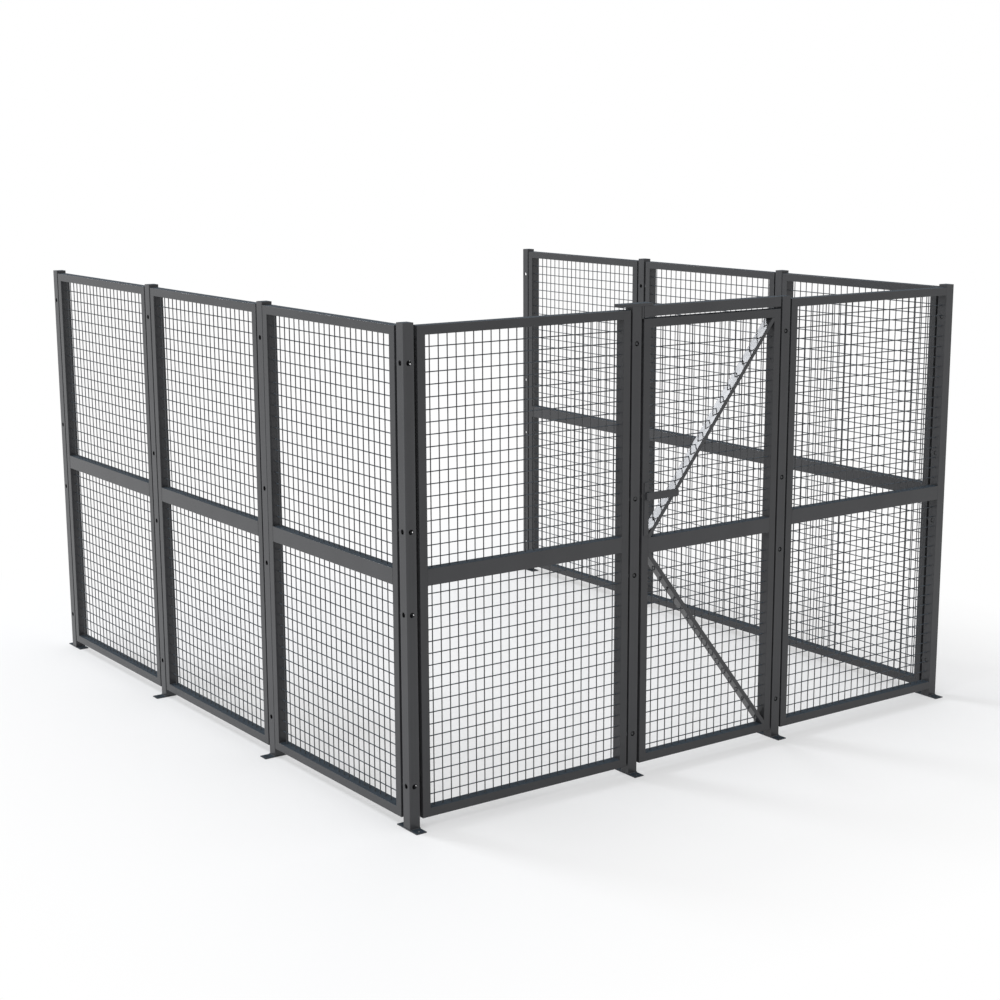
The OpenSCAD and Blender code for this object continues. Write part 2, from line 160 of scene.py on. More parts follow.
class PartitionStage(bpy.types.PropertyGroup):
    """Floor, lights and camera."""

    floor: bpy.props.FloatVectorProperty(
        name="Floor", description="Colour of the floor",
        subtype="COLOR", default=(0.90, 0.90, 0.90), min=0.0, max=1.0)
    floor_white: bpy.props.FloatProperty(
        name="Floor white", description="Share of white in the floor close to the walls",
        default=0.36, min=0.0, max=1.0)
    sky: bpy.props.FloatProperty(
        name="Room light", description="Strength of the even light from the room",
        default=0.78, min=0.0)
    key: bpy.props.FloatProperty(
        name="Key light", description="Power of the soft light high behind on the left",
        default=2900.0, subtype="POWER")
    side: bpy.props.FloatProperty(
        name="Side light", description="Power of the soft light on the left",
        default=2900.0, subtype="POWER")
    lens: bpy.props.FloatProperty(
        name="Lens", description="Focal length of the camera",
        default=66.56, subtype="DISTANCE_CAMERA")
    standpoint: bpy.props.FloatVectorProperty(
        name="Standpoint", description="Camera place from the outer corner of the first front post",
        subtype="XYZ", unit="LENGTH", default=(-3.893, -6.154, 2.8483))
    turn: bpy.props.FloatProperty(
        name="Turn", description="Camera direction from +Y towards +X",
        default=0.6351, subtype="ANGLE")
    tilt: bpy.props.FloatProperty(
        name="Tilt", description="Camera direction below the horizon",
        default=0.2049, subtype="ANGLE")


def tubes():
    return bpy.context.scene.partition_tubes


def mesh_sizes():
    return bpy.context.scene.partition_mesh


def hardware():
    return bpy.context.scene.partition_hardware


def finish():
    return bpy.context.scene.partition_finish


def stage_settings():
    return bpy.context.scene.partition_stage


# ---- Node materials ----

# Roughness of the dust on faces that look up; how much paler that layer of dust and painted
# top light is on the wires; and the spacer rings' coat
DUST_ROUGH = 0.90
WIRE_DUST_AND_TOP_LIGHT = 2.4
RING_TONE = 2.4


class Nodes:
    """Shorthand for building the node tree of a material or the world."""

    def __init__(self, owner):
        self.owner = owner
        owner.use_nodes = True
        self.tree = owner.node_tree
        self.shader = self.tree.nodes.get("Principled BSDF")

    def add(self, kind, **settings):
        node = self.tree.nodes.new(kind)
        for key, value in settings.items():
            setattr(node, key, value)
        return node

    def link(self, source, target):
        self.tree.links.new(source, target)

    def noise(self, scale, detail=3.0, stretch=None):
        """Noise with a scale in spots per metre, stretched along an axis where asked."""
        place = self.add("ShaderNodeTexCoord").outputs["Object"]
        if stretch:
            mapping = self.add("ShaderNodeMapping")
            mapping.inputs["Scale"].default_value = stretch
            self.link(place, mapping.inputs["Vector"])
            place = mapping.outputs["Vector"]
        node = self.add("ShaderNodeTexNoise")
        node.inputs["Scale"].default_value = scale
        node.inputs["Detail"].default_value = detail
        self.link(place, node.inputs["Vector"])
        return node.outputs["Fac"]

    def ramp(self, source, stops):
        """Colour ramp over a grey value; stops are (place, colour)."""
        node = self.add("ShaderNodeValToRGB")
        elements = node.color_ramp.elements
        while len(elements) < len(stops):
            elements.new(0.5)
        for element, (place, colour) in zip(elements, stops):
            element.position = place
            element.color = (*colour, 1.0)
        self.link(source, node.inputs["Fac"])
        return node.outputs["Color"]

    def spread(self, source, low, high, from_low=0.3, from_high=0.7):
        """Grey value spread over a new range, whose low end may be another value."""
        node = self.add("ShaderNodeMapRange")
        node.inputs["From Min"].default_value = from_low
        node.inputs["From Max"].default_value = from_high
        if isinstance(low, float):
            node.inputs["To Min"].default_value = low
        else:
            self.link(low, node.inputs["To Min"])
        node.inputs["To Max"].default_value = high
        self.link(source, node.inputs["Value"])
        return node.outputs["Result"]

    def mix(self, factor, first, second):
        """Colour mix of two outputs by a grey value."""
        node = self.add("ShaderNodeMix", data_type="RGBA")
        self.link(factor, node.inputs["Factor"])
        self.link(first, node.inputs["A"])
        self.link(second, node.inputs["B"])
        return node.outputs["Result"]

    def combine(self, operation, first, second):
        """Math node on two outputs."""
        node = self.add("ShaderNodeMath", operation=operation)
        self.link(first, node.inputs[0])
        self.link(second, node.inputs[1])
        return node.outputs[0]

    def bump(self, height, distance, strength=1.0, below=None):
        """Bump over an optional bump below it."""
        node = self.add("ShaderNodeBump")
        node.inputs["Distance"].default_value = distance
        node.inputs["Strength"].default_value = strength
        self.link(height, node.inputs["Height"])
        if below is not None:
            self.link(below, node.inputs["Normal"])
        return node.outputs["Normal"]


def tone(colour, factor):
    """Colour made lighter or darker."""
    return tuple(min(1.0, c * factor) for c in colour)


def powder_coat(name, colour, rough, dust_and_top_light, up_share_range=(0.86, 0.98), peel=520.0):
    """Satin powder coat: orange peel, slight blotches, rubbed edges, and on what looks up a layer
    of dust with a painted bluish top light.

    That layer begins and is full where the normal's upward share is as the given range says; peel
    is the scale of the orange peel.
    """
    n = Nodes(bpy.data.materials.new(name))
    blotch = n.noise(6.0, 5.0)
    speck = n.noise(900.0, 2.0)
    base = n.ramp(blotch, [(0.30, tone(colour, 0.92)), (0.70, tone(colour, 1.10))])
    specked = n.ramp(speck, [(0.25, tone(colour, 0.80)), (0.80, tone(colour, 1.25))])
    mixed = n.mix(n.spread(speck, 0.10, 0.35), base, specked)
    geometry = n.add("ShaderNodeNewGeometry")
    edge = n.spread(geometry.outputs["Pointiness"], 0.0, 0.25, 0.53, 0.62)
    rubbed = n.ramp(blotch, [(0.0, tone(colour, 1.5)), (1.0, tone(colour, 2.0))])
    up = n.add("ShaderNodeSeparateXYZ")
    n.link(geometry.outputs["Normal"], up.inputs[0])
    # Mask of faces that look up: their layer is dust, and its bluish tone is painted light from
    # above
    facing_up = n.spread(up.outputs["Z"], 0.0, 1.0, *up_share_range)
    film = n.ramp(n.noise(38.0, 4.0), [(0.30, tone(dust_and_top_light, 0.85)), (0.70, tone(dust_and_top_light, 1.15))])
    n.link(n.mix(facing_up, n.mix(edge, mixed, rubbed), film), n.shader.inputs["Base Color"])
    wipe = n.noise(14.0, 4.0, stretch=(1.0, 1.0, 0.25))
    gloss = n.spread(wipe, rough - 0.02, rough + 0.04)
    n.link(n.spread(facing_up, gloss, DUST_ROUGH, 0.0, 1.0), n.shader.inputs["Roughness"])
    texture = n.bump(n.noise(peel, 2.0), 0.06 * MM, 0.35)
    n.link(n.bump(n.noise(45.0, 2.0), 0.2 * MM, 0.10, texture), n.shader.inputs["Normal"])
    n.shader.inputs["Specular IOR Level"].default_value = finish().coat_shine
    return n.owner


def plated_zinc():
    """Dull zinc plate with fine turning marks and darker stains."""
    n = Nodes(bpy.data.materials.new("plated_zinc"))
    colour = tuple(finish().zinc)
    stain = n.noise(160.0, 4.0)
    n.link(n.ramp(stain, [(0.30, tone(colour, 0.62)), (0.65, colour)]),
           n.shader.inputs["Base Color"])
    n.link(n.spread(stain, 0.58, 0.40), n.shader.inputs["Roughness"])
    n.link(n.bump(n.noise(1800.0, 1.0), 0.03 * MM, 0.30), n.shader.inputs["Normal"])
    n.shader.inputs["Metallic"].default_value = 1.0
    return n.owner


def floor_paint():
    """Even pale floor that turns whiter, where it is seen, away from the walls."""
    n = Nodes(bpy.data.materials.new("pale_floor"))
    colour = tuple(stage_settings().floor)
    cloud = n.noise(0.7, 2.0)
    n.link(n.ramp(cloud, [(0.0, tone(colour, 0.99)), (1.0, tone(colour, 1.01))]),
           n.shader.inputs["Base Color"])
    n.shader.inputs["Roughness"].default_value = 0.9
    n.shader.inputs["Specular IOR Level"].default_value = 0.1
    sides = n.add("ShaderNodeVectorMath", operation="ABSOLUTE")
    n.link(n.add("ShaderNodeTexCoord").outputs["Object"], sides.inputs[0])
    away = n.add("ShaderNodeVectorMath", operation="DIVIDE")
    away.inputs[1].default_value = (*CAD_BOX[1].xy, 1.0)
    n.link(sides.outputs[0], away.inputs[0])
    apart = n.add("ShaderNodeSeparateXYZ")
    n.link(away.outputs[0], apart.inputs[0])
    furthest = n.combine("MAXIMUM", apart.outputs["X"], apart.outputs["Y"])
    white = n.spread(furthest, stage_settings().floor_white, 1.0, 1.0, 2.0)
    both = n.add("ShaderNodeMixShader")
    n.link(n.combine("MULTIPLY", white, seen_directly(n)), both.inputs[0])
    n.link(n.shader.outputs[0], both.inputs[1])
    n.link(n.add("ShaderNodeEmission").outputs[0], both.inputs[2])
    n.link(both.outputs[0], n.tree.nodes["Material Output"].inputs["Surface"])
    return n.owner


def seen_directly(n):
    """One for rays that the camera sees directly, by reflection or through glass."""
    path = n.add("ShaderNodeLightPath").outputs
    first = n.combine("MAXIMUM", path["Is Camera Ray"], path["Is Glossy Ray"])
    return n.combine("MAXIMUM", first, path["Is Transmission Ray"])


def tube_coat():
    """Coat of the tubes and plates."""
    s = finish()
    return powder_coat("tube_coat", tuple(s.coat), s.coat_rough, tuple(s.dust_and_top_light))


def wire_coat():
    """Coat of the wires, duller than the tubes', their upper sides paler with dust and painted top
    light.
    """
    s = finish()
    # The paler layer on the wires' upper sides is dust and a painted top light
    return powder_coat("wire_coat", tuple(s.wire_coat), s.coat_rough + 0.10,
                       tone(s.dust_and_top_light, WIRE_DUST_AND_TOP_LIGHT), up_share_range=(0.3, 0.8), peel=700.0)


def ring_coat():
    """Paler and duller coat of the spacer rings."""
    s = finish()
    return powder_coat("ring_coat", tone(s.coat, RING_TONE), s.coat_rough + 0.15, tuple(s.dust_and_top_light))


MATERIALS = {
    "coated_tube": tube_coat,
    "coated_wire": wire_coat,
    "coated_ring": ring_coat,
    "zinc_steel": plated_zinc,
}


def material_for(slot):
    """The finish of a slot, made once."""
    made = bpy.context.scene.get("partition_materials", {})
    if slot not in made:
        material = MATERIALS[slot]()
        bpy.context.scene["partition_materials"] = {**made, slot: material.name}
        return material
    return bpy.data.materials[made[slot]]


# ---- Shapes ----

SHARP_ANGLE = math.radians(38)
# Weld foot at a wire's end: its size by the wire's radius, then place and rise by that size
FOOT_SIZE = 0.22
FOOT_PROFILE = ((0.0, 1.0), (1.0, 0.30), (2.2, 0.0))
# Ripples of a weld bead: share of its radius, and turn from one drop to the next
BEAD_RIPPLES = ((0.14, 2.1), (0.06, 0.7))
BEAD_STEP = 3.2 * MM
FOOT_WELD_STEP = 3.6 * MM
FOOT_WELD_RADIUS = 2.3 * MM


def facing(direction):
    """Turn that brings Z into a direction."""
    return direction.to_track_quat("Z", "Y").to_matrix()


def circle(middle, turn, radius, lift, sides):
    """Points round a middle, lifted along the turned Z."""
    return [middle + turn @ Vector((radius * math.cos(a), radius * math.sin(a), lift))
            for a in (math.tau * k / sides for k in range(sides))]


def rounded_rectangle(width, depth, radius, steps=3):
    """Points of a rectangle from (0, 0) to (width, depth) with round corners."""
    points = []
    corners = ((radius, radius, 180), (width - radius, radius, 270),
               (width - radius, depth - radius, 0), (radius, depth - radius, 90))
    for cx, cy, start in corners:
        for i in range(steps + 1):
            angle = math.radians(start + 90.0 * i / steps)
            points.append((cx + radius * math.cos(angle), cy + radius * math.sin(angle)))
    return points


def skin(bm, rings, loop=False, caps=False):
    """Joins rings of points in order; loop closes the last ring to the first."""
    made = [[bm.verts.new(p) for p in ring] for ring in rings]
    pairs = list(zip(made, made[1:])) + ([(made[-1], made[0])] if loop else [])
    for first, second in pairs:
        for i in range(len(first)):
            j = (i + 1) % len(first)
            bm.faces.new((first[i], first[j], second[j], second[i]))
    if caps:
        bm.faces.new(list(reversed(made[0])))
        bm.faces.new(made[-1])


def wire(bm, start, end, radius, sides):
    """Round wire from start to end, widened by a small weld foot at both ends."""
    axis = end - start
    foot = radius * FOOT_SIZE
    profile = [(place * foot, radius + rise * foot) for place, rise in FOOT_PROFILE]
    stations = profile + [(axis.length - z, r) for z, r in reversed(profile)]
    turn = facing(axis)
    skin(bm, [circle(start, turn, r, z, sides) for z, r in stations], caps=True)


def bead(bm, points, radius, closed=False, sides=6):
    """Weld bead along points, rippled like a row of laid drops."""
    rings = []
    count = len(points)
    for i, point in enumerate(points):
        before = points[i - 1] if closed or i else point
        after = points[(i + 1) % count] if closed or i < count - 1 else point
        ripple = sum(share * math.sin(i * turn) for share, turn in BEAD_RIPPLES)
        rings.append(circle(point, facing(after - before), radius * (1.0 + ripple), 0.0, sides))
    skin(bm, rings, loop=closed, caps=not closed)


def stepped(corners, step, closed=True):
    """Points along straight runs between corners, about a step apart."""
    points = []
    ends = list(zip(corners, corners[1:])) + ([(corners[-1], corners[0])] if closed else [])
    for first, second in ends:
        count = max(1, round((second - first).length / step))
        points += [first.lerp(second, i / count) for i in range(count)]
    return points if closed else points + [corners[-1]]


def block(bm, low, high, radius=0.0, segments=2):
    """Box from low to high with all its edges rounded."""
    low, high = Vector(low), Vector(high)
    made = bmesh.ops.create_cube(bm, size=1.0)["verts"]
    size = high - low
    for v in made:
        v.co = Vector(low[i] + (v.co[i] + 0.5) * size[i] for i in range(3))
    if radius:
        edges = {e for v in made for e in v.link_edges}
        bmesh.ops.bevel(bm, geom=list(edges), offset=radius, segments=segments,
                        profile=0.5, affect="EDGES")


def drum(bm, start, end, radius, sides=32, chamfer=0.0):
    """Cylinder from start to end with chamfered rims."""
    start, end = Vector(start), Vector(end)
    axis = end - start
    stations = [(0.0, radius - chamfer), (chamfer, radius),
                (axis.length - chamfer, radius), (axis.length, radius - chamfer)]
    if not chamfer:
        stations = [(0.0, radius), (axis.length, radius)]
    turn = facing(axis)
    skin(bm, [circle(start, turn, r, z, sides) for z, r in stations], caps=True)


def prism(bm, outline, place, depth):
    """Extrudes an outline in the XZ plane along Y, from place to place + depth."""
    rings = [[Vector((x, place + y, z)) for x, z in outline] for y in (0.0, depth)]
    skin(bm, rings, caps=True)


def new_mesh(name, build):
    """Mesh made by build(bm), its normals outwards."""
    bm = bmesh.new()
    build(bm)
    bmesh.ops.recalc_face_normals(bm, faces=bm.faces)
    mesh = bpy.data.meshes.new(name)
    bm.to_mesh(mesh)
    bm.free()
    return mesh


def linked(name, data):
    """New object, put in the scene."""
    obj = bpy.data.objects.new(name, data)
    bpy.context.scene.collection.objects.link(obj)
    return obj


def drilled(mesh, holes):
    """Mesh with round holes; holes are (start, end, radius)."""
    body = linked("body", mesh)
    for start, end, radius in holes:
        drill_mesh = new_mesh("drill", lambda bm: drum(bm, start, end, radius, 36))
        drill = linked("drill", drill_mesh)
        cut = body.modifiers.new("hole", "BOOLEAN")
        cut.operation = "DIFFERENCE"
        cut.solver = "EXACT"
        cut.object = drill
        bpy.context.view_layer.update()
        result = bpy.data.meshes.new_from_object(
            body.evaluated_get(bpy.context.evaluated_depsgraph_get()))
        body.modifiers.clear()
        body.data = result
        bpy.data.objects.remove(drill)
        bpy.data.meshes.remove(drill_mesh)
    result = body.data
    result.name = mesh.name
    bpy.data.objects.remove(body)
    return result


def piece(name, mesh, slot, body, replaces=(), place=None):
    """Puts a mesh in the scene as a finished piece that rides on a body."""
    if not mesh.materials:
        mesh.materials.append(material_for(slot))
    mesh.shade_smooth()
    mesh.set_sharp_from_angle(angle=SHARP_ANGLE)
    obj = linked(name, mesh)
    if place is not None:
        obj.matrix_world = place
    even = obj.modifiers.new("even_shading", "WEIGHTED_NORMAL")
    even.keep_sharp = True
    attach(obj, body)
    if replaces:
        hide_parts(*replaces)


def low_corner(node):
    """Lowest corner of a node at rest."""
    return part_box(node)[0]


def high_corner(node):
    """Highest corner of a node at rest."""
    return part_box(node)[1]


def size_of(node):
    """Width, depth and height of a node at rest."""
    low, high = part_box(node)
    return high - low


def wall_place(panel):
    """Place of a panel of the front, left or right wall, from its own left front corner."""
    side = panel.split("_")[0]
    low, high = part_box(f"panel_frame_{panel}")
    corner = {"front": (low.x, low.y), "left": (low.x, high.y), "right": (high.x, low.y)}[side]
    turn = Matrix.Rotation(math.radians(PANEL_TURN[side]), 4, "Z")
    return Matrix.Translation((corner[0], corner[1], low.z)) @ turn


# ---- Posts ----

def post_tube(bm, side, height, base):
    """Square tube with round edges, open below and let in for a cap above."""
    s = tubes()
    outer = rounded_rectangle(side, side, s.post_edge_radius)
    wall = s.post_wall
    inner = [(x + wall, y + wall) for x, y in
             rounded_rectangle(side - 2 * wall, side - 2 * wall, s.post_edge_radius * 0.5)]
    half = side / 2
    rings = []
    for outline, z in ((outer, base), (outer, height), (inner, height), (inner, base)):
        rings.append([Vector((x - half, y - half, z)) for x, y in outline])
    skin(bm, rings, loop=True)


def post_holes(side, plain_front):
    """Cross holes both ways at the heights of the studs, or none in a plain front."""
    reach = side / 2 + 2 * MM
    front = 0.0 if plain_front else -reach
    radius = tubes().hole / 2
    holes = []
    for z in stud_heights():
        holes.append((Vector((-reach, 0, z)), Vector((reach, 0, z)), radius))
        holes.append((Vector((0, front, z)), Vector((0, reach, z)), radius))
    return holes


def bolt_head(bm, face, inward, radius, side):
    """Bolt head just below a post's face, its shank held by the far wall."""
    top, under = 2 * MM, 7 * MM
    chamfer, shank = 0.8 * MM, 4 * MM
    far_wall = side - tubes().post_wall
    drum(bm, face + inward * top, face + inward * under, radius, 32, chamfer)
    drum(bm, face + inward * (under - 0.2 * MM), face + inward * far_wall, shank, 20)


def stud_heights():
    """Heights of the stud rows, lowest, two middle and highest."""
    near = 20 * MM
    heights = [vertex.co.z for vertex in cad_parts["panel_studs"].data.vertices]
    found = []
    for height in heights:
        if not any(abs(height - z) < near for z in found):
            found.append(height)
    rows = [[height for height in heights if abs(height - z) < near] for z in found]
    return sorted({round((min(row) + max(row)) / 2, 4) for row in rows})


def foot_plate(bm, side, length, thickness):
    """Sheared plate, long along Y."""
    block(bm, (-side / 2, -length / 2, 0), (side / 2, length / 2, thickness), 0.7 * MM)


def post_middle(name):
    """Middle of a post, seen from above."""
    low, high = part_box(name)
    return (low.xy + high.xy) / 2


def foot_weld(bm, side, thickness):
    """Fillet weld round the foot of a post."""
    half = side / 2 + 0.5 * MM
    corners = [Vector((x, y, thickness + 0.6 * MM)) for x, y in
               ((-half, -half), (half, -half), (half, half), (-half, half))]
    bead(bm, stepped(corners, FOOT_WELD_STEP), FOOT_WELD_RADIUS, closed=True)


class PARTITION_OT_posts(bpy.types.Operator):
    """Make the posts with their foot plates, welds and caps"""

    bl_idname = "partition.posts"
    bl_label = "Posts"

    def execute(self, context):
        side = size_of("post_front_1").x
        base = low_corner("post_front_1").z
        height = high_corner("post_front_1").z
        tube = {plain_front: drilled(
            new_mesh("post_tube", lambda bm: post_tube(bm, side, height, base)),
            post_holes(side, plain_front)) for plain_front in (False, True)}
        plate_size = size_of("foot_plate_front_1")
        reach = tubes().anchor_pitch / 2
        anchors = [((0, y, -10 * MM), (0, y, 30 * MM), tubes().anchor_hole / 2)
                   for y in (-reach, reach)]
        plate = drilled(new_mesh("foot_plate", lambda bm: foot_plate(
            bm, side, plate_size.y, plate_size.z)), anchors)
        weld = new_mesh("foot_weld", lambda bm: foot_weld(bm, side, plate_size.z))
        for name in FRONT_POSTS + SIDE_POSTS:
            place = Matrix.Translation((*post_middle(name), 0))
            piece(f"{name}_tube", tube[name == FRONT_POSTS[-1]], "coated_tube", "partition",
                  [name], place)
            plate_node = name.replace("post", "foot_plate")
            along_x = size_of(plate_node).x > size_of(plate_node).y
            turn = Matrix.Rotation(math.pi / 2 if along_x else 0, 4, "Z")
            piece(f"{plate_node}_sheared", plate, "coated_tube", "partition",
                  [plate_node], place @ turn)
            piece(f"{plate_node}_weld", weld, "coated_tube", "partition", (), place)
        self.bolt_heads(side)
        self.caps(side, height)
        return {"FINISHED"}

    def bolt_heads(self, side):
        """Low bolt heads in the front holes of the inner posts and in the last post's left side."""
        x_way, y_way = Vector((1, 0, 0)), Vector((0, 1, 0))

        def heads(bm):
            for name in FRONT_POSTS[1:]:
                low = low_corner(name)
                inward, across, diameter = y_way, x_way, hardware().bolt_head
                if name == FRONT_POSTS[-1]:
                    inward, across, diameter = x_way, y_way, hardware().side_bolt_head
                for z in stud_heights():
                    face = Vector((low.x, low.y, z)) + across * side / 2
                    bolt_head(bm, face, inward, diameter / 2, side)

        piece("post_bolt_heads", new_mesh("post_bolt_heads", heads), "coated_tube", "partition")

    def caps(self, side, height):
        """Pressed caps, their rims just below the tube ends."""
        half = side / 2 - tubes().post_wall + 0.2 * MM
        under, top = height - 3 * MM, height - 0.3 * MM

        def caps(bm):
            for name in FRONT_POSTS + SIDE_POSTS:
                x, y = post_middle(name)
                block(bm, (x - half, y - half, under), (x + half, y + half, top), 1.0 * MM, 3)

        piece("post_caps_pressed", new_mesh("post_caps", caps), "coated_tube", "partition",
              ["post_caps"])


# ---- Panel and door frames ----

def tube_ring(corner, inward, profile):
    """Cross-section of a frame tube at a corner or a square end."""
    return [Vector((corner[0] + inward[0] * u, v, corner[1] + inward[1] * u)) for u, v in profile]


def tube_frame(bm, width, height, depth, rail_low, open_end=False):
    """Mitred frame of round-edged tube with a middle rail and its weld beads."""
    s = tubes()
    profile = rounded_rectangle(s.face, depth, s.edge_radius)
    corners = [((0, 0), (1, 1)), ((0, height), (1, -1))]
    if open_end:
        corners = [((width, 0), (0, 1))] + corners + [((width, height), (0, -1))]
    else:
        corners += [((width, height), (-1, -1)), ((width, 0), (-1, 1))]
    skin(bm, [tube_ring(c, i, profile) for c, i in corners], loop=not open_end, caps=open_end)
    right = width if open_end else width - s.face
    rail_high = rail_low + s.rail
    profile = rounded_rectangle(depth, s.rail, s.edge_radius)
    skin(bm, [[Vector((x, y, rail_low + z)) for y, z in profile] for x in (s.face, right)],
         caps=True)
    for x in (s.face,) if open_end else (s.face, right):
        rail_end_bead(bm, x, depth, rail_low, rail_high)
    for x, z in frame_corners(right, height, open_end):
        corner_bead(bm, x, z, depth)


def frame_corners(right, height, open_end):
    """Inner corners of a frame."""
    face = tubes().face
    lefts = [(face, face), (face, height - face)]
    return lefts if open_end else lefts + [(right, face), (right, height - face)]


def rail_end_bead(bm, x, depth, low, high):
    """Bead round the end of a middle rail, where it meets the stile."""
    inset = 0.35 * MM
    corners = [Vector((x, y, z)) for y, z in
               ((inset, low + inset), (depth - inset, low + inset),
                (depth - inset, high - inset), (inset, high - inset))]
    bead(bm, stepped(corners, BEAD_STEP), tubes().bead, closed=True)


def corner_bead(bm, x, z, depth):
    """Bead in the inner corner of a mitre."""
    inset = 1.5 * MM
    ends = [Vector((x, inset, z)), Vector((x, depth - inset, z))]
    bead(bm, stepped(ends, BEAD_STEP, closed=False), tubes().bead)


class PARTITION_OT_panel_frames(bpy.types.Operator):
    """Make the mitred tube frames of the panels"""

    bl_idname = "partition.panel_frames"
    bl_label = "Panel frames"

    def execute(self, context):
        size = size_of("panel_frame_front_1")
        rail_low = (size.z - tubes().rail) / 2
        whole = new_mesh("panel_frame", lambda bm: tube_frame(
            bm, size.x, size.z, size.y, rail_low))
        for panel in WHOLE_PANELS:
            piece(f"panel_frame_{panel}_tubes", whole, "coated_tube", "partition",
                  [f"panel_frame_{panel}"], wall_place(panel))
        width = size_of(f"panel_frame_{END_PANEL}").x
        end = new_mesh("end_panel_frame", lambda bm: tube_frame(
            bm, width, size.z, size.y, rail_low, open_end=True))
        piece(f"panel_frame_{END_PANEL}_tubes", end, "coated_tube", "partition",
              [f"panel_frame_{END_PANEL}"], wall_place(END_PANEL))
        return {"FINISHED"}


class PARTITION_OT_door_frame(bpy.types.Operator):
    """Make the door's tube frame and its two braces"""

    bl_idname = "partition.door_frame"
    bl_label = "Door frame and braces"

    def execute(self, context):
        size = size_of("door_frame")
        rail_low = (size.z - tubes().rail) / 2
        tube = new_mesh("door_frame", lambda bm: tube_frame(
            bm, size.x, size.z, size.y, rail_low))
        piece("door_frame_tubes", tube, "coated_tube", "door", ["door_frame"],
              Matrix.Translation(low_corner("door_frame")))
        for node, rising in (("door_brace_lower", False), ("door_brace_upper", True)):
            self.brace(node, rising)
        return {"FINISHED"}

    def brace(self, node, rising):
        """Flat-sided diagonal tube, its ends mitred into the corners of its opening."""
        size = size_of(node)
        outline = brace_outline(size.x, size.z, tubes().brace)
        if not rising:
            outline = [(x, size.z - z) for x, z in outline]

        def build(bm):
            prism(bm, outline, 0.0, size.y)
            bmesh.ops.recalc_face_normals(bm, faces=bm.faces)
            long_edges = [e for e in bm.edges if e.calc_length() > size.x / 2]
            bmesh.ops.bevel(bm, geom=long_edges, offset=1.6 * MM, segments=3, profile=0.5,
                            affect="EDGES")

        piece(f"{node}_tube", new_mesh(node, build), "coated_tube", "door", [node],
              Matrix.Translation(low_corner(node)))


def brace_outline(width, height, face):
    """Corner to corner strip, cut by the sides of the opening."""
    length = math.hypot(width, height)
    along_x = face / 2 * length / height
    along_z = face / 2 * length / width
    return [(0, 0), (along_x, 0), (width, height - along_z), (width, height),
            (width - along_x, height), (0, along_z)]


# ---- Welded mesh ----

def upright_places(width, lattice_width):
    """Upright wires of a sheet, on the lattice of a whole opening of the width given."""
    s = mesh_sizes()
    count = int((lattice_width - 2 * s.margin) / s.pitch_x) + 1
    first = (lattice_width - (count - 1) * s.pitch_x) / 2
    return [first + i * s.pitch_x for i in range(count) if first + i * s.pitch_x < width]


def sheet(bm, width, uprights, levels, runs, depth):
    """Welded sheet; runs are the stretches of the upright wires, depth the middle of the sheet."""
    s = mesh_sizes()
    radius = s.wire / 2
    front = depth - radius
    back = depth + radius - s.bite
    for low, high in runs:
        for x in uprights:
            wire(bm, Vector((x, front, low)), Vector((x, front, high)), radius, s.sides)
    for z in levels:
        wire(bm, Vector((0, back, z)), Vector((width, back, z)), radius, s.sides)


def panel_sheet(bm, width, lattice_width, height):
    """Sheet of a panel: one lattice above and below the middle rail."""
    s = mesh_sizes()
    rail = tubes().rail
    rail_low = (height - rail) / 2
    rail_high = rail_low + rail
    rows = [k * s.pitch_z for k in range(1, round(height / s.pitch_z))]
    levels = [z for z in rows if z < rail_low or z > rail_high]
    runs = [(0, rail_low), (rail_high, height)]
    sheet(bm, width, upright_places(width, lattice_width), levels, runs, 0.0)


class PARTITION_OT_panel_meshes(bpy.types.Operator):
    """Make the welded mesh of the panels"""

    bl_idname = "partition.panel_meshes"
    bl_label = "Panel meshes"

    def execute(self, context):
        size = size_of("panel_mesh_front_1")
        whole = new_mesh("panel_mesh", lambda bm: panel_sheet(bm, size.x, size.x, size.z))
        end_width = size_of(f"panel_mesh_{END_PANEL}").x
        end = new_mesh("end_panel_mesh", lambda bm: panel_sheet(bm, end_width, size.x, size.z))
        depth = size_of("post_front_1").y / 2
        inset = Matrix.Translation((tubes().face, depth, tubes().face))
        for panel in WHOLE_PANELS + [END_PANEL]:
            piece(f"panel_mesh_{panel}_wires", end if panel == END_PANEL else whole, "coated_wire",
                  "partition", [f"panel_mesh_{panel}"], wall_place(panel) @ inset)
        return {"FINISHED"}


class PARTITION_OT_door_meshes(bpy.types.Operator):
    """Make the two sheets of mesh in the door"""

    bl_idname = "partition.door_meshes"
    bl_label = "Door meshes"

    def execute(self, context):
        s = mesh_sizes()
        for node in ("door_mesh_lower", "door_mesh_upper"):
            low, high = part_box(node)
            size = high - low
            rows = int((size.z - s.door_margin) / s.pitch_z)
            levels = [s.door_margin + k * s.pitch_z for k in range(rows)]
            mesh = new_mesh(node, lambda bm: sheet(
                bm, size.x, upright_places(size.x, size.x), levels, [(0, size.z)], 0.0))
            place = Matrix.Translation((low.x, (low.y + high.y) / 2, low.z))
            piece(f"{node}_wires", mesh, "coated_wire", "door", [node], place)
        return {"FINISHED"}


# ---- Header ----

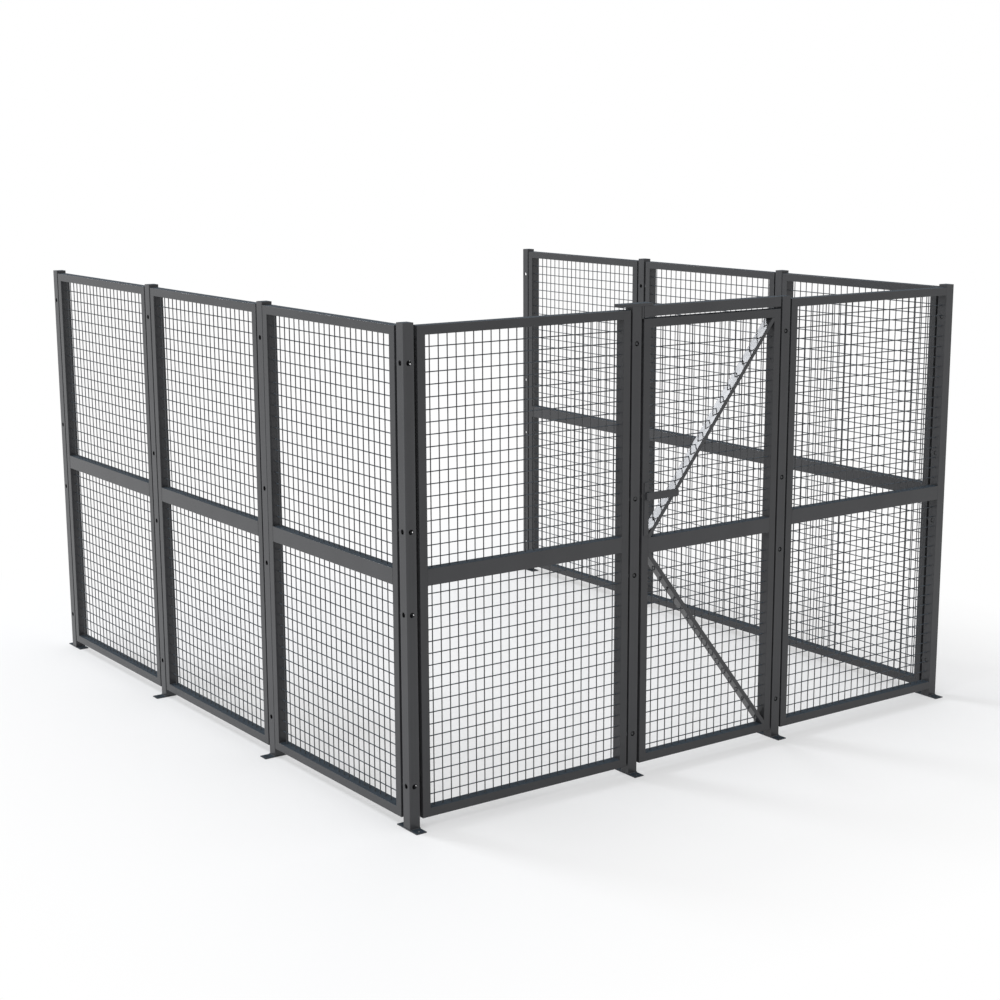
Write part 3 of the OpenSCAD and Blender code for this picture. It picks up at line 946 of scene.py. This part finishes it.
class PARTITION_OT_header(bpy.types.Operator):
    """Make the header tube, the plate that holds its left end and the shelf under its right end"""

    bl_idname = "partition.header"
    bl_label = "Header"

    def execute(self, context):
        low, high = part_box("header")
        profile = rounded_rectangle(high.y - low.y, high.z - low.z, tubes().post_edge_radius)

        def tube(bm):
            skin(bm, [[Vector((x, low.y + y, low.z + z)) for y, z in profile]
                      for x in (low.x, high.x)], caps=True)

        piece("header_tube", new_mesh("header", tube), "coated_tube", "partition", ["header"])
        self.bracket()
        low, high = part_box("header_tab")
        tab = new_mesh("header_tab", lambda bm: block(bm, low, high, 0.8 * MM))
        piece("header_tab_plate", tab, "coated_tube", "partition", ["header_tab"])
        return {"FINISHED"}

    def bracket(self):
        """Top plate on the latch post and the web that hangs from it, welded as one."""
        low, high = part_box("header_bracket")
        post_high = high_corner("post_front_2")
        gap = low_corner("header").x - post_high.x
        web = hardware().web
        web_x = post_high.x + (gap - web) / 2
        top = post_high.z

        def build(bm):
            block(bm, (low.x, low.y, top), high, 0.9 * MM)
            block(bm, (web_x, low.y, low.z), (web_x + web, high.y, top + 2 * MM), 0.7 * MM)

        piece("header_bracket_plates", new_mesh("header_bracket", build), "coated_tube",
              "partition", ["header_bracket"])


# ---- Latch ----

class PARTITION_OT_latch(bpy.types.Operator):
    """Make the latch plate, the lever with its spindle and the sliding bolt"""

    bl_idname = "partition.latch"
    bl_label = "Latch"

    def execute(self, context):
        s = hardware()
        plate_low, plate_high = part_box("latch_case")
        lever_low, lever_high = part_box("latch_lever")
        bolt_low, bolt_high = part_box("latch_bolt")
        door_low = low_corner("door_frame")
        spindle_x = door_low.x + s.spindle
        spindle_z = (lever_low.z + lever_high.z) / 2
        lever_back = lever_low.y + s.lever
        plate_x = door_low.x + s.latch_inset
        plate_front = plate_low.y
        screw_inset, screw_radius = 14 * MM, 4.6 * MM
        collar_radius, spindle_radius = 10 * MM, 4 * MM

        def case(bm):
            block(bm, (plate_x, plate_front, plate_low.z),
                  (plate_x + s.latch_plate, door_low.y + 0.05 * MM, plate_high.z), 0.9 * MM)
            for z in (plate_low.z + screw_inset, plate_high.z - screw_inset):
                screw_head(bm, Vector((plate_x + s.latch_plate / 2, plate_front, z)),
                           Vector((0, -1, 0)), screw_radius)

        piece("latch_case_plate", new_mesh("latch_case", case), "coated_tube", "door",
              ["latch_case"])

        outline = lever_outline(lever_low.x, lever_high.x, lever_low.z, lever_high.z,
                                s.lever_corner)

        def on_spindle(y):
            return (spindle_x, y, spindle_z)

        def lever(bm):
            prism(bm, outline, lever_low.y, s.lever)
            rims = [e for e in bm.edges if abs(e.verts[0].co.y - e.verts[1].co.y) < 1e-6]
            bmesh.ops.bevel(bm, geom=rims, offset=0.9 * MM, segments=2, profile=0.5, affect="EDGES")
            drum(bm, on_spindle(lever_back - 0.5 * MM), on_spindle(plate_front - 0.3 * MM),
                 collar_radius, 32)
            drum(bm, on_spindle(lever_back), on_spindle(lever_high.y), spindle_radius, 24)

        piece("latch_lever_bar", new_mesh("latch_lever", lever), "coated_tube", "lever",
              ["latch_lever"])

        def bolt(bm):
            y = (bolt_low.y + bolt_high.y) / 2
            z = (bolt_low.z + bolt_high.z) / 2
            radius = (bolt_high.z - bolt_low.z) / 2
            drum(bm, (bolt_low.x, y, z), (bolt_high.x, y, z), radius, 32, 1.5 * MM)

        piece("latch_bolt_bar", new_mesh("latch_bolt", bolt), "zinc_steel", "bolt", ["latch_bolt"])
        return {"FINISHED"}


def lever_outline(x0, x1, z0, z1, radius, steps=8):
    """Bar with a square short end and round corners at the long end."""
    points = [(x0, z0)]
    for cz, start in ((z0 + radius, -90), (z1 - radius, 0)):
        for i in range(steps + 1):
            angle = math.radians(start + 90.0 * i / steps)
            points.append((x1 - radius + radius * math.cos(angle), cz + radius * math.sin(angle)))
    return points + [(x0, z1)]


def screw_head(bm, place, direction, radius, sides=20):
    """Low domed head of a screw, standing on a face."""
    turn = facing(direction)
    dome = ((-0.3 * MM, 1.0), (0.5 * MM, 0.98), (1.1 * MM, 0.80), (1.4 * MM, 0.45))
    skin(bm, [circle(place, turn, radius * share, lift, sides) for lift, share in dome], caps=True)


# ---- Hinges ----

HINGE_SCREW_RADIUS = 4.4 * MM


class PARTITION_OT_hinges(bpy.types.Operator):
    """Make the leaves, knuckles, pins and screws of the three hinges"""

    bl_idname = "partition.hinges"
    bl_label = "Hinges"

    def execute(self, context):
        pin_low, pin_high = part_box("hinge_pins")
        axis = (pin_low + pin_high) / 2
        post_low, post_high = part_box("hinge_post_leaves")
        height = hardware().hinge
        middles = [post_low.z + height / 2, axis.z, post_high.z - height / 2]
        knuckle = post_high.y - axis.y
        lift = height / 6 + 0.3 * MM
        post_runs = [(-height / 2, -lift), (lift, height / 2)]
        door_runs = [(-height / 6, height / 6)]
        door_reach = axis.x - low_corner("hinge_door_leaves").x

        def leaves(bm, side, reach, runs):
            for z in middles:
                hinge_leaf(bm, axis, z, side, reach, post_low.y, knuckle, runs)

        def pins(bm):
            head_height, head_radius, chamfer = 2.5 * MM, 6 * MM, 0.6 * MM
            for z in middles:
                foot, top = z - height / 2, z + height / 2
                on_axis(bm, axis, foot - 1 * MM, top + 1 * MM, hardware().pin / 2, 24)
                for low in (top, foot - head_height):
                    on_axis(bm, axis, low, low + head_height, head_radius, 28, chamfer)

        on_post = new_mesh("hinge_post_leaves", lambda bm: leaves(
            bm, 1, post_high.x - axis.x, post_runs))
        piece("hinge_post_leaves_plates", on_post, "coated_tube", "partition",
              ["hinge_post_leaves"])
        on_door = new_mesh("hinge_door_leaves", lambda bm: leaves(bm, -1, door_reach, door_runs))
        piece("hinge_door_leaves_plates", on_door, "coated_tube", "door", ["hinge_door_leaves"])
        piece("hinge_pins_turned", new_mesh("hinge_pins", pins), "zinc_steel", "partition",
              ["hinge_pins"])
        return {"FINISHED"}


def on_axis(bm, axis, low, high, radius, sides, chamfer=0.0):
    """Upright drum on the axis of the hinges."""
    drum(bm, (axis.x, axis.y, low), (axis.x, axis.y, high), radius, sides, chamfer)


def hinge_leaf(bm, axis, z, side, reach, back, knuckle, runs):
    """One leaf: plate on the tube, necks to its knuckles, and three screws."""
    leaf = hardware().hinge_leaf
    height = hardware().hinge
    bore = hardware().pin / 2 + 0.05 * MM
    near = knuckle + 0.5 * MM
    x0, x1 = sorted((axis.x + side * near, axis.x + side * reach))
    block(bm, (x0, back, z - height / 2), (x1, back + leaf, z + height / 2), 0.8 * MM)
    for low, high in runs:
        neck = sorted((axis.x + side * 1 * MM, axis.x + side * (near + 2 * MM)))
        block(bm, (neck[0], back, z + low), (neck[1], back + leaf, z + high), 0.3 * MM, 1)
        knuckle_tube(bm, axis, z + low, z + high, knuckle, bore)
    middle = (x0 + x1) / 2
    for dz in (-height / 3, 0.0, height / 3):
        place = Vector((middle, back + leaf, z + dz))
        screw_head(bm, place, Vector((0, 1, 0)), HINGE_SCREW_RADIUS)


def knuckle_tube(bm, axis, low, high, radius, bore, sides=36):
    """Rolled knuckle with its bore."""
    chamfer = 0.5 * MM
    rings = []
    for r, z in ((bore, low), (radius - chamfer, low), (radius, low + chamfer),
                 (radius, high - chamfer), (radius - chamfer, high), (bore, high)):
        rings.append([Vector((axis.x + r * math.cos(a), axis.y + r * math.sin(a), z))
                      for a in (math.tau * k / sides for k in range(sides))])
    skin(bm, rings, loop=True)


# ---- Fasteners ----

class PARTITION_OT_fasteners(bpy.types.Operator):
    """Finish the studs, rings and bolts between posts and panels"""

    bl_idname = "partition.fasteners"
    bl_label = "Fasteners"

    def execute(self, context):
        for node, slot in (("panel_studs", "coated_tube"), ("panel_spacers", "coated_ring"),
                           ("through_bolts", "zinc_steel")):
            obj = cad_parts[node]
            obj.data.materials.clear()
            obj.data.materials.append(material_for(slot))
        return {"FINISHED"}


# ---- Stage ----

# Soft lights: place, target and size in metres, and colour
KEY_LIGHT = ((-9.3, 20.3, 19.5), (0.0, -1.8, 1.5), (6.5, 6.5), (0.93, 0.955, 1.0))
SIDE_LIGHT = ((-28.5, -3.0, 9.4), (0.0, 0.0, 1.0), (12.0, 8.0), (0.94, 0.97, 1.0))
ROOM_COLOUR = (0.985, 0.99, 1.0, 1.0)
# Floor from its middle to its edge in metres, film in millimetres, shift by the film's width
FLOOR_REACH = 60.0
FILM_WIDTH = 36.0
CAMERA_SHIFT = (-0.0343, 0.0167)


class PARTITION_OT_stage(bpy.types.Operator):
    """Make the floor, the lights, the room light and the camera"""

    bl_idname = "partition.stage"
    bl_label = "Stage"

    def execute(self, context):
        scene = context.scene
        scene.view_settings.view_transform = "Standard"
        self.floor()
        self.room(scene)
        self.softbox("key_light", stage_settings().key, *KEY_LIGHT)
        self.softbox("side_light", stage_settings().side, *SIDE_LIGHT)
        self.camera(scene)
        return {"FINISHED"}

    def floor(self):
        """Wide plain floor, level with the feet."""
        mesh = new_mesh("floor", lambda bm: bmesh.ops.create_grid(
            bm, x_segments=8, y_segments=8, size=FLOOR_REACH))
        mesh.materials.append(floor_paint())
        obj = linked("floor", mesh)

    def room(self, scene):
        """Even light from all round, white where it is seen."""
        n = Nodes(bpy.data.worlds.new("room"))
        scene.world = n.owner
        n.tree.nodes.clear()
        light = n.add("ShaderNodeBackground")
        light.inputs["Color"].default_value = ROOM_COLOUR
        light.inputs["Strength"].default_value = stage_settings().sky
        white = n.add("ShaderNodeBackground")
        white.inputs["Color"].default_value = (1.0, 1.0, 1.0, 1.0)
        mix = n.add("ShaderNodeMixShader")
        n.link(seen_directly(n), mix.inputs[0])
        n.link(light.outputs[0], mix.inputs[1])
        n.link(white.outputs[0], mix.inputs[2])
        n.link(mix.outputs[0], n.add("ShaderNodeOutputWorld").inputs["Surface"])

    def softbox(self, name, power, place, target, size, colour):
        """Rectangular soft light aimed at a point."""
        data = bpy.data.lights.new(name, "AREA")
        data.shape = "RECTANGLE"
        data.size, data.size_y = size
        data.energy = power
        data.color = colour
        obj = linked(name, data)
        obj.location = place
        obj.rotation_euler = (Vector(target) - Vector(place)).to_track_quat("-Z", "Y").to_euler()
        obj.visible_camera = False

    def camera(self, scene):
        """Camera at the photograph's standpoint."""
        s = stage_settings()
        data = bpy.data.cameras.new("camera")
        data.sensor_width = FILM_WIDTH
        data.lens = s.lens
        data.shift_x, data.shift_y = CAMERA_SHIFT
        data.clip_end = 200.0
        obj = linked("camera", data)
        corner = low_corner("post_front_1")
        obj.location = Vector((corner.x, corner.y, 0.0)) + Vector(s.standpoint)
        obj.rotation_euler = (math.pi / 2 - s.tilt, 0.0, -s.turn)
        scene.camera = obj


# ---- Sidebar panel and registration ----

OPERATORS = (
    PARTITION_OT_posts,
    PARTITION_OT_panel_frames,
    PARTITION_OT_panel_meshes,
    PARTITION_OT_door_frame,
    PARTITION_OT_door_meshes,
    PARTITION_OT_header,
    PARTITION_OT_latch,
    PARTITION_OT_hinges,
    PARTITION_OT_fasteners,
    PARTITION_OT_stage,
)
GROUPS = {
    "partition_tubes": PartitionTubes,
    "partition_mesh": PartitionMesh,
    "partition_hardware": PartitionHardware,
    "partition_finish": PartitionFinish,
    "partition_stage": PartitionStage,
}


class PARTITION_PT_sidebar(bpy.types.Panel):
    """Lists the sizes, the finishes and the operators"""

    bl_idname = "PARTITION_PT_sidebar"
    bl_label = "Wire mesh partition"
    bl_space_type = "VIEW_3D"
    bl_region_type = "UI"
    bl_category = "Partition"

    def draw(self, context):
        for group in GROUPS:
            box = self.layout.box()
            settings = getattr(context.scene, group)
            for name in settings.__annotations__:
                box.prop(settings, name)
        for operator in OPERATORS:
            self.layout.operator(operator.bl_idname)


def register():
    for group in GROUPS.values():
        bpy.utils.register_class(group)
    for name, group in GROUPS.items():
        setattr(bpy.types.Scene, name, bpy.props.PointerProperty(type=group))
    for cls in (*OPERATORS, PARTITION_PT_sidebar):
        bpy.utils.register_class(cls)


def unregister():
    for cls in (PARTITION_PT_sidebar, *reversed(OPERATORS)):
        bpy.utils.unregister_class(cls)
    for name, group in reversed(GROUPS.items()):
        delattr(bpy.types.Scene, name)
        bpy.utils.unregister_class(group)


def main():
    """Builds every piece and the stage."""
    register()
    for operator in OPERATORS:
        group, name = operator.bl_idname.split(".")
        getattr(getattr(bpy.ops, group), name)()


if __name__ == "__main__":
    main()
